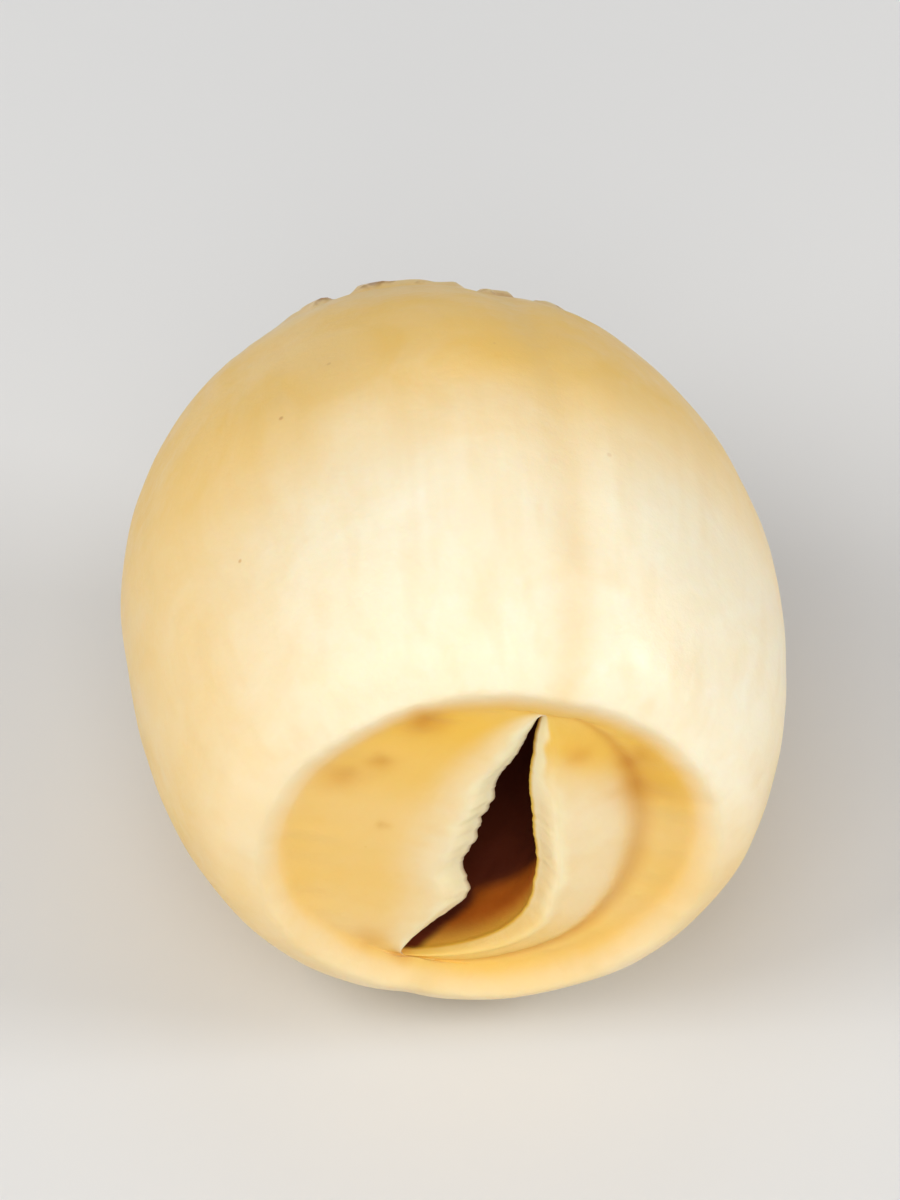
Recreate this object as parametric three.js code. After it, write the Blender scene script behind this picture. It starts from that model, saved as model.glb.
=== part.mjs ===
// A dried white lotus seed with its core pushed out, lying on its side. It grew as one piece, so it is
// one solid: a barrel of flesh with a round core hole at the base, a hollow where the core was, and at
// the other end a shallow mouth whose two lips stand apart in a ragged split.
// Millimetres, +Z up. The seed's axis lies along Y, the mouth looks along -Y and the core hole along +Y.
// The origin is under the middle of the seed, on the surface that it rests on.
import * as THREE from "three";
import { mergeVertices } from "three/addons/utils/BufferGeometryUtils.js";

// Driving dimensions of the outside
const WIDTH = 12.9; // across the widest ring
const RIM_AHEAD = 5.95; // from the widest ring to the crest of the mouth's rim
const BASE_BEHIND = 6.9; // from the widest ring to the end of the base
const FLATTENING = 0.98; // height of the flesh over its width
const REST_DEPTH = 5.9; // from the axis down to the flat spot that the seed rests on
const MOUTH_ASIDE = 0.3; // how far the seed's bend carries the rim towards +X

// Driving dimensions of the mouth, the hollow and the core hole
const CREASE_RADIUS = 3.86; // of the ring where the rim meets the lips
const CREASE_DEPTH = 0.36; // from the rim's crest down to that ring, where it is deepest
const DISH_LEFT = 0.6; // share of the mouth's depth that is left where it is shallowest, at the upper left
const DISH_TURN = THREE.MathUtils.degToRad(40); // how far past the right side it is deepest
const LIP_DEPTH = 0.36; // from the rim's crest down to the lips, at the ends of the split
const LIP_RISE = 0.2; // how much higher the right lip stands beside the middle of the split
const LEFT_LIP_SHARE = 0.2; // share of that rise on the left lip
const LIP_CREASE = 0.14; // depth of the crease round the right lip
const LIP_BEVEL = 0.24; // depth of the bevel where the lips break off at the split
const SPLIT_REACH = 3.68; // half the length of the split
const SPLIT_RIGHT = 1.62; // how far the split opens to the right of the seam plane
const SPLIT_LEFT = 0.26; // how far it opens to the left
const SPLIT_HEAD = 0.1; // how far its upper end runs off to the left
const SPLIT_TAIL = 0.5; // how far its lower end does
const SPLIT_CORNER = 0.5; // height of the corner that stands out low on its left edge
const SPLIT_RAGGED = 0.07; // height of the teeth along its edges
const HOLLOW_RADIUS = 2.5;
const CORE_HOLE_RADIUS = 1.4;
const CORE_HOLE_RIM = 0.4; // width of the rounded edge round the core hole

// The seam where the two halves of the flesh meet runs round the seed in a plane through the axis
const SEAM_LEAN = THREE.MathUtils.degToRad(19); // of that plane, from upright towards +X
const SEAM_DEPTH = 0.17;
const SEAM_HALF_WIDTH = 0.75;
const SEAM_ROUND = 0.25; // rounding of the groove's bottom

// Broad swellings that the flesh dried into: share of the radius, lobes round the seed and turn in radians
const SWELLINGS = [
  { share: 0.012, lobes: 2, turn: -1.2 },
  { share: 0.011, lobes: 3, turn: 0.5 },
  { share: 0.006, lobes: 5, turn: 0 },
];

// Fineness of the faceted surface
const COLUMNS = 72;
const RINGS_PER_POINT = 2;

const WIDEST = WIDTH / 2;
const CREASE = CREASE_DEPTH - RIM_AHEAD;
const LIP_EDGE = LIP_DEPTH - RIM_AHEAD;
const LIP_MEAN_RADIUS = (SPLIT_RIGHT + SPLIT_LEFT) / 2;
const { lerp, smoothstep } = THREE.MathUtils;

// Points of the closed meridian: [radius of the round ring, place along the axis, share of the split].
// A ring with a share of 0 is round, and one with a share of 1 follows the edge of the split.
const flank = [
  [0.7 * WIDEST, -RIM_AHEAD, 0],
  [0.755 * WIDEST, -0.96 * RIM_AHEAD, 0],
  [0.815 * WIDEST, -0.88 * RIM_AHEAD, 0],
  [0.875 * WIDEST, -0.75 * RIM_AHEAD, 0],
  [0.935 * WIDEST, -0.565 * RIM_AHEAD, 0],
  [0.98 * WIDEST, -0.3 * RIM_AHEAD, 0],
  [WIDEST, 0, 0],
  [0.98 * WIDEST, 0.21 * BASE_BEHIND, 0],
  [0.91 * WIDEST, 0.42 * BASE_BEHIND, 0],
  [0.8 * WIDEST, 0.615 * BASE_BEHIND, 0],
  [0.65 * WIDEST, 0.78 * BASE_BEHIND, 0],
  [0.46 * WIDEST, 0.92 * BASE_BEHIND, 0],
  [CORE_HOLE_RADIUS + CORE_HOLE_RIM, BASE_BEHIND, 0],
];
const inside = [
  [CORE_HOLE_RADIUS, 0.955 * BASE_BEHIND, 0],
  [CORE_HOLE_RADIUS, 0.8 * BASE_BEHIND, 0],
  [1.1 * CORE_HOLE_RADIUS, 0.65 * BASE_BEHIND, 0],
  [0.83 * HOLLOW_RADIUS, 0.47 * BASE_BEHIND, 0],
  [HOLLOW_RADIUS, 0.18 * BASE_BEHIND, 0],
  [HOLLOW_RADIUS, -0.2 * RIM_AHEAD, 0],
  [HOLLOW_RADIUS, -0.44 * RIM_AHEAD, 0.1],
  [HOLLOW_RADIUS, -0.62 * RIM_AHEAD, 0.42],
  [HOLLOW_RADIUS, -0.75 * RIM_AHEAD, 0.82],
  [HOLLOW_RADIUS, LIP_EDGE + 0.4, 0.97],
];
const face = [
  [CREASE_RADIUS, LIP_EDGE + 0.1, 1],
  [CREASE_RADIUS, LIP_EDGE, 0.92],
  [CREASE_RADIUS, LIP_EDGE, 0.7],
  [CREASE_RADIUS, LIP_EDGE, 0.42],
  [CREASE_RADIUS, CREASE, 0.16],
  [CREASE_RADIUS, CREASE - 0.1 * CREASE_DEPTH, 0],
  [1.06 * CREASE_RADIUS, CREASE - 0.45 * CREASE_DEPTH, 0],
];

// Shares of the split where the right lip's crease lies, where that lip is full and where the bevel begins
const LIP_CREASE_AT = 0.3;
const LIP_CREASE_HALF_WIDTH = 0.09;
const LIP_FULL_AT = 0.7;
const BEVEL_AT = 0.84;

// A smooth bump of height 1.
function bell(offset, halfWidth) {
  return Math.exp(-((offset / halfWidth) ** 2));
}

// Across the seam plane, the edge of the split that a ring of the mouth reaches at an angle from its top.
function splitEdge(angle) {
  const down = (1 - Math.cos(angle)) / 2;
  const ends = -SPLIT_TAIL * down ** 8 - SPLIT_HEAD * (1 - down) ** 6;
  const bow = Math.max(0, Math.sin(Math.PI * down));
  const teeth = SPLIT_RAGGED * bow * (Math.sin(15 * down) + 0.6 * Math.sin(34 * down + 1.3));
  if (Math.sin(angle) >= 0) {
    const belly = Math.max(0, Math.sin(Math.PI * down ** 2.6));
    return ends + SPLIT_RIGHT * belly ** 0.6 + 0.3 * teeth;
  }
  const corner = SPLIT_CORNER * bell(down - 0.77, 0.11);
  return ends - SPLIT_LEFT * bow ** 0.4 + corner + teeth;
}

// How far the flesh swells or sinks at an angle from the seam's top, as a share of the radius.
function swelling(angle) {
  return SWELLINGS.reduce((sum, { share, lobes, turn }) => sum + share * Math.cos(lobes * angle + turn), 0);
}

// Depth of the seam's groove at an angle and a radius.
function seamGroove(angle, radius) {
  const aside = Math.hypot(Math.sin(angle) * radius, SEAM_ROUND) - SEAM_ROUND;
  return SEAM_DEPTH * Math.exp(-aside / SEAM_HALF_WIDTH) * Math.min(1, radius / CREASE_RADIUS);
}

// How far a point stands ahead of its ring: the mouth is shallowest at the upper left, the right lip is the
// fuller one, and both lips break off in a bevel.
function mouthForm({ along, split, part }, angle) {
  if (part === flank) return 0;
  const side = Math.sin(angle);
  const depth = lerp(DISH_LEFT, 1, (1 + Math.sin(angle - DISH_TURN)) / 2);
  const dish = (1 - depth) * Math.min(along + RIM_AHEAD, LIP_DEPTH) * (part === face ? 1 : split);
  let rise = LEFT_LIP_SHARE * LIP_RISE * (1 - (1 - split) ** 2);
  if (side >= 0) {
    rise = LIP_RISE * smoothstep(split, LIP_CREASE_AT, LIP_FULL_AT);
    if (part === face) rise -= LIP_CREASE * bell(split - LIP_CREASE_AT, LIP_CREASE_HALF_WIDTH);
  }
  return dish + side ** 2 * (rise - LIP_BEVEL * smoothstep(split, BEVEL_AT, 1));
}

// The point of a ring at an angle from the seam's top.
function skinPoint(ring, angle) {
  const { radius, along, split, part } = ring;
  let round = radius;
  if (part !== inside) {
    const grown = Math.min(1, (radius - CORE_HOLE_RADIUS) / WIDEST);
    round = radius * (1 + grown * swelling(angle)) - (1 - split) * seamGroove(angle, radius);
  }
  const upSeam = lerp(round, SPLIT_REACH, split) * Math.cos(angle);
  const acrossSeam = lerp(round * Math.sin(angle), splitEdge(angle), split);
  const bend = (-MOUTH_ASIDE * along) / RIM_AHEAD;
  const across = bend + upSeam * Math.sin(SEAM_LEAN) + acrossSeam * Math.cos(SEAM_LEAN);
  const up = FLATTENING * (upSeam * Math.cos(SEAM_LEAN) - acrossSeam * Math.sin(SEAM_LEAN));
  return new THREE.Vector3(across, along - mouthForm(ring, angle), Math.max(up, -REST_DEPTH));
}

// Rings of the closed meridian: up the flank, in by the core hole, through the hollow and out by the lips.
function meridianRings() {
  const parts = [flank, inside, face].flatMap((part) => part.map(() => part));
  const points = [...flank, ...inside, ...face].map((point) => new THREE.Vector3(...point));
  const curve = new THREE.CatmullRomCurve3(points, true, "centripetal");
  const count = points.length * RINGS_PER_POINT;
  return Array.from({ length: count + 1 }, (_, step) => {
    const ring = step % count;
    const { x: radius, y: along, z: split } = curve.getPoint(ring / count);
    return { radius, along, split, part: parts[Math.floor(ring / RINGS_PER_POINT)] };
  });
}

// A closed surface turned round the axis, then each ring is shaped to the seed's own outline.
function seedGeometry() {
  const rings = meridianRings();
  const meanRadius = ({ radius, split }) => lerp(radius, LIP_MEAN_RADIUS, split);
  const turned = new THREE.LatheGeometry(
    rings.map((ring) => new THREE.Vector2(meanRadius(ring), ring.along)),
    COLUMNS,
  );
  const place = turned.getAttribute("position");
  for (let column = 0; column <= COLUMNS; column += 1) {
    const angle = ((column % COLUMNS) / COLUMNS) * 2 * Math.PI;
    rings.forEach((ring, row) => {
      const point = skinPoint(ring, angle);
      place.setXYZ(column * rings.length + row, point.x, point.y, point.z);
    });
  }
  turned.deleteAttribute("normal");
  turned.deleteAttribute("uv");
  const closed = mergeVertices(turned);
  closed.computeVertexNormals();
  closed.computeBoundingBox();
  return closed;
}

const flesh = new THREE.MeshStandardMaterial({ color: 0xf3dfae, roughness: 0.48, metalness: 0 });
const seed = new THREE.Mesh(seedGeometry(), flesh);
seed.name = "seed";
const { min, max } = seed.geometry.boundingBox;
seed.position.set(-(min.x + max.x) / 2, -(min.y + max.y) / 2, REST_DEPTH);

const lotusSeed = new THREE.Group();
lotusSeed.add(seed);

export default lotusSeed;
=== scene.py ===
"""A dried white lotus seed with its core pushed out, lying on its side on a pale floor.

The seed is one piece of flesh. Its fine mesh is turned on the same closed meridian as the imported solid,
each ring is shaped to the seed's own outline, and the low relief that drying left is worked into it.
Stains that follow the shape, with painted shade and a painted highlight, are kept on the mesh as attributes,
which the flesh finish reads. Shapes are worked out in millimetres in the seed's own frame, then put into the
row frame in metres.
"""

import logging
import math
from dataclasses import dataclass, field
from enum import Enum

import bmesh
import bpy
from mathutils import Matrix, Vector, noise


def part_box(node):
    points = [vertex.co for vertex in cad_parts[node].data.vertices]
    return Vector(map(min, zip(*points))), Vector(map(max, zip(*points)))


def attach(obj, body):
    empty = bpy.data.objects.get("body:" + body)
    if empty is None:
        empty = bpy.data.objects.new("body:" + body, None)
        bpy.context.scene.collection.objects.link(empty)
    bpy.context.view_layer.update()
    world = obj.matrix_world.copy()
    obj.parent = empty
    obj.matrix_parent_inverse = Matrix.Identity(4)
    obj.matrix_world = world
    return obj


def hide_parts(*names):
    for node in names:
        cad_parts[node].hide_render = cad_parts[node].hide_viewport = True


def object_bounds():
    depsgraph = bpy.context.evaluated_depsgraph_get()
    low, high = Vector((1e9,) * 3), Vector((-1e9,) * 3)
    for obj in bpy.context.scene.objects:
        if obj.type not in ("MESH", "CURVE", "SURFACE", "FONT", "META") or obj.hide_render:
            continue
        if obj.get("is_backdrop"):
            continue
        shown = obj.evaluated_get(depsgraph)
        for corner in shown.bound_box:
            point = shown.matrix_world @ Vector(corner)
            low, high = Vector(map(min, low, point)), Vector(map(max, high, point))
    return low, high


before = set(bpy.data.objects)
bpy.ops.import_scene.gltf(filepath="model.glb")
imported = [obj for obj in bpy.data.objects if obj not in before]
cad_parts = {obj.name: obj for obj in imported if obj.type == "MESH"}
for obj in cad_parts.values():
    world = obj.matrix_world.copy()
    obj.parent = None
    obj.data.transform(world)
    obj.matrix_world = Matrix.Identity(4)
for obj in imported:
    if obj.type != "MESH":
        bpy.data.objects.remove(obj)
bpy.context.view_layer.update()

MM = 0.001
log = logging.getLogger("lotus_seed")

Colour = tuple[float, float, float, float]


def srgb(red: int, green: int, blue: int) -> Colour:
    """Turns a colour as a screen shows it into the linear values that shaders take.

    Args:
        red: Red, from 0 to 255.
        green: Green, from 0 to 255.
        blue: Blue, from 0 to 255.

    Returns:
        The linear colour, opaque.
    """
    def linear(value: int) -> float:
        """Gives one channel's linear value."""
        share = value / 255
        return share / 12.92 if share <= 0.04045 else ((share + 0.055) / 1.055) ** 2.4

    return linear(red), linear(green), linear(blue), 1.0


def ease(start: float, end: float, value: float) -> float:
    """Rises smoothly from 0 at start to 1 at end, whichever of them is larger.

    Args:
        start: Where the rise begins.
        end: Where it is complete.
        value: The place to read it at.

    Returns:
        A share from 0 to 1.
    """
    share = min(1.0, max(0.0, (value - start) / (end - start)))
    return share * share * (3 - 2 * share)


def lerp(start: float, end: float, share: float) -> float:
    """Gives the value that lies a share of the way from start to end."""
    return start + (end - start) * share


def hump(middle: float, half_width: float, value: float) -> float:
    """Gives a bell of height 1 about a middle, with the half width where it has fallen to about a third."""
    return math.exp(-(((value - middle) / half_width) ** 2))


class Zone(Enum):
    """The stretch of the meridian that a ring belongs to."""

    FLANK = "flank"
    INSIDE = "inside"
    MOUTH = "mouth"


class Stain(Enum):
    """A mask on the mesh, by the name of its attribute, that the flesh finish reads."""

    # Yellowed flesh, partly painted shade at the sides, top and underneath.
    WARM_AND_SHADE = "warm_flesh_and_shade"
    SEAM = "seam_line"
    AMBER = "amber_ring"
    # Deeper amber in the blots, and painted shade in the crease round the right lip.
    DEEP_AND_CREASE_SHADE = "deep_amber_and_crease_shade"
    # The torn edge of the lips, and a painted highlight along the right lip's edge.
    BROKEN_AND_HIGHLIGHT = "broken_lip_and_highlight"
    SKIN = "torn_skin"
    TAN = "skin_stain"
    CHUTE = "chute"
    # The hollow's brown, darkened as painted shade deeper in and as a painted shadow behind the left lip's
    # edge.
    HOLLOW_BROWN_AND_SHADE = "hollow"


@dataclass(frozen=True)
class Ring:
    """One ring of the seed before it is shaped, in millimetres.

    Attributes:
        radius: Radius of the round ring.
        along: Place along the axis, from the widest ring towards the base.
        split: 0 for a round ring, 1 for one that follows the edge of the split.
        zone: The stretch of the meridian that it belongs to.
    """

    radius: float
    along: float
    split: float
    zone: Zone


@dataclass(frozen=True)
class SeedSizes:
    """Driving dimensions of the seed, in millimetres and radians.

    A place on a lip is a share, 0 at the crease of the mouth and 1 at the edge of the split. A place down the
    split is a share too, 0 at its upper end and 1 at its lower one.

    Attributes:
        width: Width of the widest ring.
        rim_ahead: From the widest ring to the crest of the rim.
        base_behind: From the widest ring to the end of the base.
        flattening: Height of a ring as a share of its width.
        rest_depth: From the axis down to the flat spot.
        mouth_aside: How far the middle of the mouth lies to the right of the axis.
        crease_radius: Radius at which the rim meets the lips.
        crease_depth: Depth of the mouth's dish there, behind the crest of the rim.
        dish_left: Share of its depth that the dish has where it is shallowest.
        dish_turn: How far from the left towards the top it is shallowest.
        lip_depth: Depth of the lips' edge at the ends of the split.
        lip_rise: How far the right lip stands out of the dish.
        left_lip_share: Share of that by which the left lip stands out.
        lip_full_at: Place on the right lip where it has its full rise.
        lip_crease: Depth of the crease round the right lip.
        lip_crease_at: Place on the lip where that crease runs.
        lip_crease_half_width: Half width of that crease, as a share.
        lip_bevel: How far the lips fall off into the split.
        bevel_at: Place on a lip where it begins to fall off.
        split_reach: Half the length of the split.
        split_right: How far its right edge bows out.
        split_left: How far its left edge bows out.
        split_head: How far its upper end leans to the left.
        split_tail: How far its lower end leans to the left.
        split_corner: How far a corner of the left lip stands into it.
        corner_at: Place down the split where that corner stands.
        corner_half_width: Half width of that corner, as a share.
        split_ragged: Height of the coarse teeth along its left edge.
        hollow_radius: Radius of the hollow.
        core_hole_radius: Radius of the core hole.
        core_hole_rim: Width of the rounding round the core hole.
        seam_lean: How far the seam and the split lean to the right.
        seam_depth: Depth of the seam's groove.
        seam_half_width: Half width of the groove.
        seam_round: Rounding of the groove's bottom.
    """

    width: float = 12.9
    rim_ahead: float = 5.95
    base_behind: float = 6.9
    flattening: float = 0.98
    rest_depth: float = 5.9
    mouth_aside: float = 0.3
    crease_radius: float = 3.86
    crease_depth: float = 0.36
    dish_left: float = 0.6
    dish_turn: float = math.radians(40)
    lip_depth: float = 0.36
    lip_rise: float = 0.2
    left_lip_share: float = 0.2
    lip_full_at: float = 0.7
    lip_crease: float = 0.14
    lip_crease_at: float = 0.3
    lip_crease_half_width: float = 0.09
    lip_bevel: float = 0.24
    bevel_at: float = 0.84
    split_reach: float = 3.68
    split_right: float = 1.62
    split_left: float = 0.26
    split_head: float = 0.1
    split_tail: float = 0.5
    split_corner: float = 0.5
    corner_at: float = 0.77
    corner_half_width: float = 0.11
    split_ragged: float = 0.07
    hollow_radius: float = 2.5
    core_hole_radius: float = 1.4
    core_hole_rim: float = 0.4
    seam_lean: float = math.radians(19)
    seam_depth: float = 0.17
    seam_half_width: float = 0.75
    seam_round: float = 0.25

    @property
    def widest(self) -> float:
        """Radius of the widest ring."""
        return self.width / 2

    @property
    def crease(self) -> float:
        """Place along the axis of the crease between the rim and the lips."""
        return self.crease_depth - self.rim_ahead

    @property
    def lip_edge(self) -> float:
        """Place along the axis of the lips' edge at the ends of the split."""
        return self.lip_depth - self.rim_ahead


@dataclass(frozen=True)
class Meridian:
    """The closed line that is turned round the axis to make the seed.

    Attributes:
        sizes: The seed's driving dimensions.
        rings_per_point: How many rings there are for each point of the line.
    """

    sizes: SeedSizes
    rings_per_point: int = 7

    def points(self) -> list[tuple[Vector, Zone]]:
        """Gives the few points that the line runs through.

        Returns:
            Each point as (radius, along, split), with the zone that begins there.
        """
        s = self.sizes
        flank = [
            (0.7 * s.widest, -s.rim_ahead, 0),
            (0.755 * s.widest, -0.96 * s.rim_ahead, 0),
            (0.815 * s.widest, -0.88 * s.rim_ahead, 0),
            (0.875 * s.widest, -0.75 * s.rim_ahead, 0),
            (0.935 * s.widest, -0.565 * s.rim_ahead, 0),
            (0.98 * s.widest, -0.3 * s.rim_ahead, 0),
            (s.widest, 0, 0),
            (0.98 * s.widest, 0.21 * s.base_behind, 0),
            (0.91 * s.widest, 0.42 * s.base_behind, 0),
            (0.8 * s.widest, 0.615 * s.base_behind, 0),
            (0.65 * s.widest, 0.78 * s.base_behind, 0),
            (0.46 * s.widest, 0.92 * s.base_behind, 0),
            (s.core_hole_radius + s.core_hole_rim, s.base_behind, 0),
        ]
        inside = [
            (s.core_hole_radius, 0.955 * s.base_behind, 0),
            (s.core_hole_radius, 0.8 * s.base_behind, 0),
            (1.1 * s.core_hole_radius, 0.65 * s.base_behind, 0),
            (0.83 * s.hollow_radius, 0.47 * s.base_behind, 0),
            (s.hollow_radius, 0.18 * s.base_behind, 0),
            (s.hollow_radius, -0.2 * s.rim_ahead, 0),
            (s.hollow_radius, -0.44 * s.rim_ahead, 0.1),
            (s.hollow_radius, -0.62 * s.rim_ahead, 0.42),
            (s.hollow_radius, -0.75 * s.rim_ahead, 0.82),
            (s.hollow_radius, s.lip_edge + 0.4, 0.97),
        ]
        mouth = [
            (s.crease_radius, s.lip_edge + 0.1, 1),
            (s.crease_radius, s.lip_edge, 0.92),
            (s.crease_radius, s.lip_edge, 0.7),
            (s.crease_radius, s.lip_edge, 0.42),
            (s.crease_radius, s.crease, 0.16),
            (s.crease_radius, s.crease - 0.1 * s.crease_depth, 0),
            (1.06 * s.crease_radius, s.crease - 0.45 * s.crease_depth, 0),
        ]
        stretches = ((flank, Zone.FLANK), (inside, Zone.INSIDE), (mouth, Zone.MOUTH))
        return [(Vector(point), zone) for stretch, zone in stretches for point in stretch]

    @staticmethod
    def flow(before: Vector, start: Vector, end: Vector, after: Vector, share: float) -> Vector:
        """Reads a centripetal Catmull-Rom stretch between two points.

        Args:
            before: The point ahead of the stretch.
            start: Where the stretch begins.
            end: Where it ends.
            after: The point past it.
            share: How far along the stretch to read, from 0 to 1.

        Returns:
            The point on the curve.
        """
        steps = (start - before, end - start, after - end)
        near, across, far = (math.sqrt(step.length) for step in steps)
        leave = (start - before) / near - (end - before) / (near + across) + (end - start) / across
        arrive = (end - start) / across - (after - start) / (across + far) + (after - end) / far
        square, cube = share**2, share**3
        return (
            (2 * cube - 3 * square + 1) * start
            + (cube - 2 * square + share) * across * leave
            + (3 * square - 2 * cube) * end
            + (cube - square) * across * arrive
        )

    def rings(self) -> list[Ring]:
        """Reads the line at even steps between its points.

        Returns:
            The rings in order round the closed line.
        """
        points = self.points()
        count = len(points)
        rings = []
        for index, (start, zone) in enumerate(points):
            before, end, after = (points[(index + step) % count][0] for step in (-1, 1, 2))
            for step in range(self.rings_per_point):
                radius, along, split = self.flow(before, start, end, after, step / self.rings_per_point)
                rings.append(Ring(radius, along, split, zone))
        return rings


@dataclass(frozen=True)
class Swelling:
    """A broad swelling that the flesh dried into.

    Attributes:
        share: Its height as a share of the radius.
        lobes: How often it comes round the seed.
        turn: Where it starts, in radians.
    """

    share: float
    lobes: int
    turn: float


@dataclass(frozen=True)
class Dent:
    """A shallow dent in the flank, as drying leaves.

    Attributes:
        angle: Where it lies round the seed, in degrees from the seam's top.
        along: Where its middle lies along the axis, in millimetres.
        half_width: Its half width round the seed, in millimetres.
        half_length: Its half length along the axis, in millimetres.
        depth: Its depth in the middle, in millimetres.
    """

    angle: float
    along: float
    half_width: float
    half_length: float
    depth: float

    def depth_at(self, ring: Ring, angle: float) -> float:
        """Gives the dent's depth at a point.

        Args:
            ring: The point's ring.
            angle: Its angle round the ring from the seam's top, in radians.

        Returns:
            The depth, in millimetres.
        """
        aside = math.remainder(angle - math.radians(self.angle), 2 * math.pi) * ring.radius
        across = hump(0, self.half_width, aside)
        return self.depth * across * hump(self.along, self.half_length, ring.along)


@dataclass(frozen=True)
class Outline:
    """The seed's own outline, ring by ring.

    Attributes:
        sizes: The seed's driving dimensions.
        swellings: The broad swellings of the flesh.
        fine_teeth: Height of the fine teeth along the split, in millimetres.
    """

    sizes: SeedSizes
    swellings: tuple[Swelling, ...] = (
        Swelling(0.012, 2, -1.2),
        Swelling(0.011, 3, 0.5),
        Swelling(0.006, 5, 0.0),
    )
    fine_teeth: float = 0.07

    def teeth(self, down: float, right: bool) -> float:
        """Gives how far the torn edge of a lip stands out in teeth, which are lower on the right.

        Args:
            down: Place down the split.
            right: Whether it is the right lip's edge.

        Returns:
            The height of the teeth, in millimetres.
        """
        row = 5.0 if right else -5.0
        coarse = math.sin(15 * down) + 0.6 * math.sin(34 * down + 1.3)
        fine = noise.noise(Vector((26 * down, row, 0.4))) + 0.45 * noise.noise(Vector((70 * down, row, 2.7)))
        coarse_share, fine_share = (0.3, 0.5) if right else (1.0, 1.0)
        height = coarse_share * self.sizes.split_ragged * coarse + fine_share * self.fine_teeth * fine
        return height * max(0.0, math.sin(math.pi * down))

    def split_edge(self, angle: float) -> float:
        """Gives the edge of the split, across the seam plane, that a ring of the mouth reaches.

        Args:
            angle: Angle round the ring from the seam's top, in radians.

        Returns:
            The distance from the seam plane, in millimetres, positive to the right.
        """
        s = self.sizes
        right = math.sin(angle) >= 0
        down = (1 - math.cos(angle)) / 2
        edge = self.teeth(down, right) - s.split_tail * down**8 - s.split_head * (1 - down) ** 6
        if right:
            belly = max(0.0, math.sin(math.pi * down**2.6))
            return edge + s.split_right * belly**0.6
        bow = max(0.0, math.sin(math.pi * down))
        return edge - s.split_left * bow**0.4 + s.split_corner * hump(s.corner_at, s.corner_half_width, down)

    def swelling(self, angle: float) -> float:
        """Gives how far the flesh swells or sinks at an angle, as a share of the radius."""
        return sum(w.share * math.cos(w.lobes * angle + w.turn) for w in self.swellings)

    def seam_groove(self, angle: float, radius: float) -> float:
        """Gives the depth of the seam's groove.

        Args:
            angle: Angle round the ring from the seam's top, in radians.
            radius: The ring's radius, in millimetres.

        Returns:
            The depth, in millimetres.
        """
        s = self.sizes
        aside = math.hypot(math.sin(angle) * radius, s.seam_round) - s.seam_round
        return s.seam_depth * math.exp(-aside / s.seam_half_width) * min(1.0, radius / s.crease_radius)

    def dish(self, ring: Ring, angle: float) -> float:
        """Gives how much shallower than the meridian the mouth is: it hardly sinks at the left and the top.

        Args:
            ring: The ring.
            angle: Angle round it from the seam's top, in radians.

        Returns:
            The distance ahead, in millimetres.
        """
        s = self.sizes
        if ring.zone is Zone.FLANK:
            return 0.0
        full = lerp(s.dish_left, 1, (1 + math.sin(angle - s.dish_turn)) / 2)
        sunk = min(ring.along + s.rim_ahead, s.lip_depth)
        return (1 - full) * sunk * (1 if ring.zone is Zone.MOUTH else ring.split)

    def lip_form(self, ring: Ring, angle: float) -> float:
        """Gives how far a lip stands out of the dish of the mouth: the right one is fuller, behind a crease.

        Args:
            ring: The ring.
            angle: Angle round it from the seam's top, in radians.

        Returns:
            The distance ahead, in millimetres, which is negative on the bevel of the split and in the crease.
        """
        s = self.sizes
        side = math.sin(angle)
        if side < 0:
            rise = s.left_lip_share * s.lip_rise * (1 - (1 - ring.split) ** 2)
        else:
            rise = s.lip_rise * ease(s.lip_crease_at, s.lip_full_at, ring.split)
            if ring.zone is Zone.MOUTH:
                rise -= s.lip_crease * hump(s.lip_crease_at, s.lip_crease_half_width, ring.split)
        return side**2 * (rise - s.lip_bevel * ease(s.bevel_at, 1, ring.split))

    def skin_point(self, ring: Ring, angle: float) -> Vector:
        """Shapes one point of a ring.

        Args:
            ring: The ring.
            angle: Angle round it from the seam's top, in radians.

        Returns:
            The point in the seed's own frame, in millimetres.
        """
        s = self.sizes
        round_radius = ring.radius
        if ring.zone is not Zone.INSIDE:
            grown = min(1.0, (ring.radius - s.core_hole_radius) / s.widest)
            round_radius *= 1 + grown * self.swelling(angle)
            round_radius -= (1 - ring.split) * self.seam_groove(angle, ring.radius)
        up_seam = lerp(round_radius, s.split_reach, ring.split) * math.cos(angle)
        across_seam = lerp(round_radius * math.sin(angle), self.split_edge(angle), ring.split)
        bend = -s.mouth_aside * ring.along / s.rim_ahead
        across = bend + up_seam * math.sin(s.seam_lean) + across_seam * math.cos(s.seam_lean)
        up = s.flattening * (up_seam * math.cos(s.seam_lean) - across_seam * math.sin(s.seam_lean))
        ahead = self.dish(ring, angle) + self.lip_form(ring, angle)
        return Vector((across, ring.along - ahead, up))


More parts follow.
